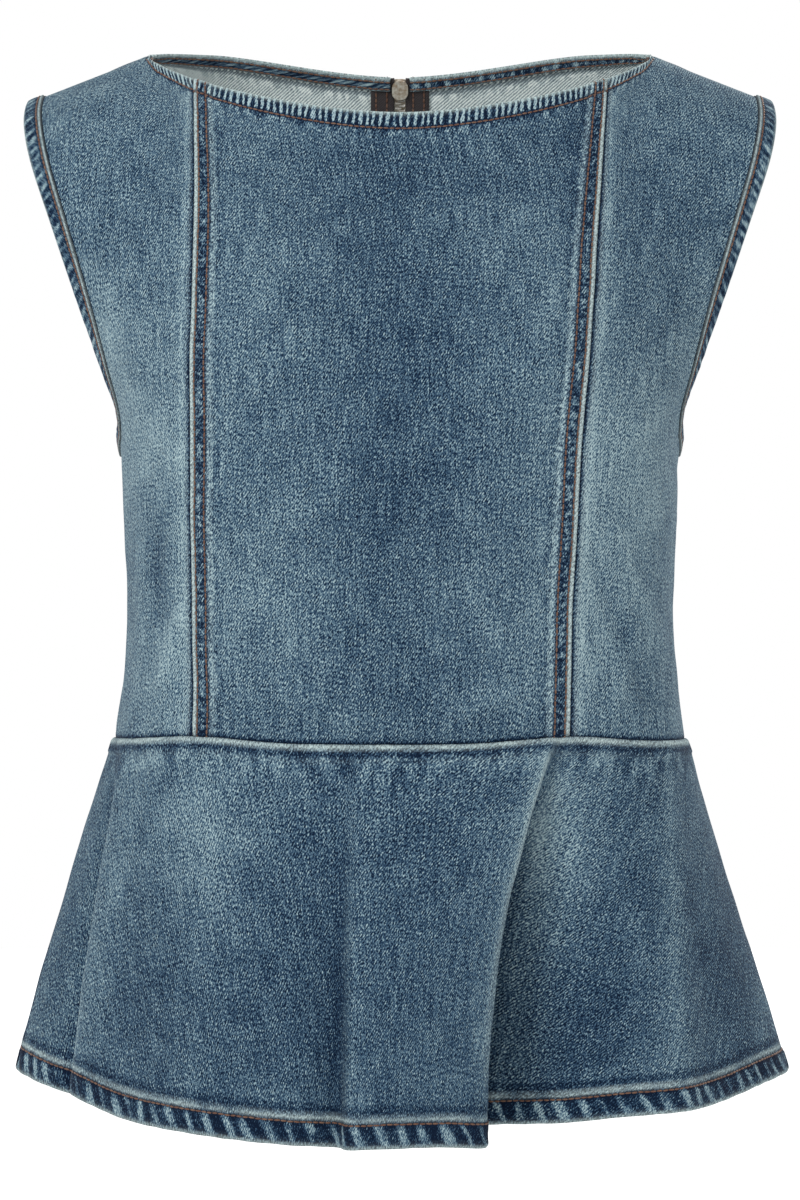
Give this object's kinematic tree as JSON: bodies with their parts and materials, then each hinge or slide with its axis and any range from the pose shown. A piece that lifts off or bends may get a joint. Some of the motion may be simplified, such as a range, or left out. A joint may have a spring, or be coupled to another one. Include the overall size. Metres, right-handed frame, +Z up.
{
  "type": "sleeveless denim peplum top",
  "caption": "Sleeveless boat-neck denim top with princess seams, bound armholes, a flared peplum and an exposed back zip, filled out and hollow.",
  "frame": {"origin": "midway between the two shoulder seams, where the wearer's shoulders carry the top", "axes": "+Z up, +X to the wearer's left, -Y out of the front"},
  "size_m": [0.4229, 0.3103, 0.5799],
  "materials": {
    "denim": "stonewashed mid-blue twill",
    "denim_trim": "stonewashed twill, worn pale on its folds",
    "thread": "rust-orange topstitching thread",
    "zip_tape": "dark brown woven tape",
    "zip_metal": "aged nickel"
  },
  "bodies": {
    "garment": {"front_centre": "denim", "front_side_right": "denim", "front_side_left": "denim", "back_right": "denim", "back_left": "denim", "peplum_front": "denim", "peplum_back": "denim", "armhole_band_right": "denim_trim", "armhole_band_left": "denim_trim", "neck_facing": "denim_trim", "zip_tape_right": "zip_tape", "zip_tape_left": "zip_tape", "zip_chain": "zip_metal", "zip_slider": "zip_metal"},
    "pull_tab": {"zip_pull": "zip_metal"}
  },
  "joints": [
    {"name": "pull_hinge", "type": "hinge", "parent": "garment", "child": "pull_tab", "pos_m": [0, 0.07054, 0.00592], "axis": [1, 0, 0], "range_deg": [0, 160]}
  ]
}
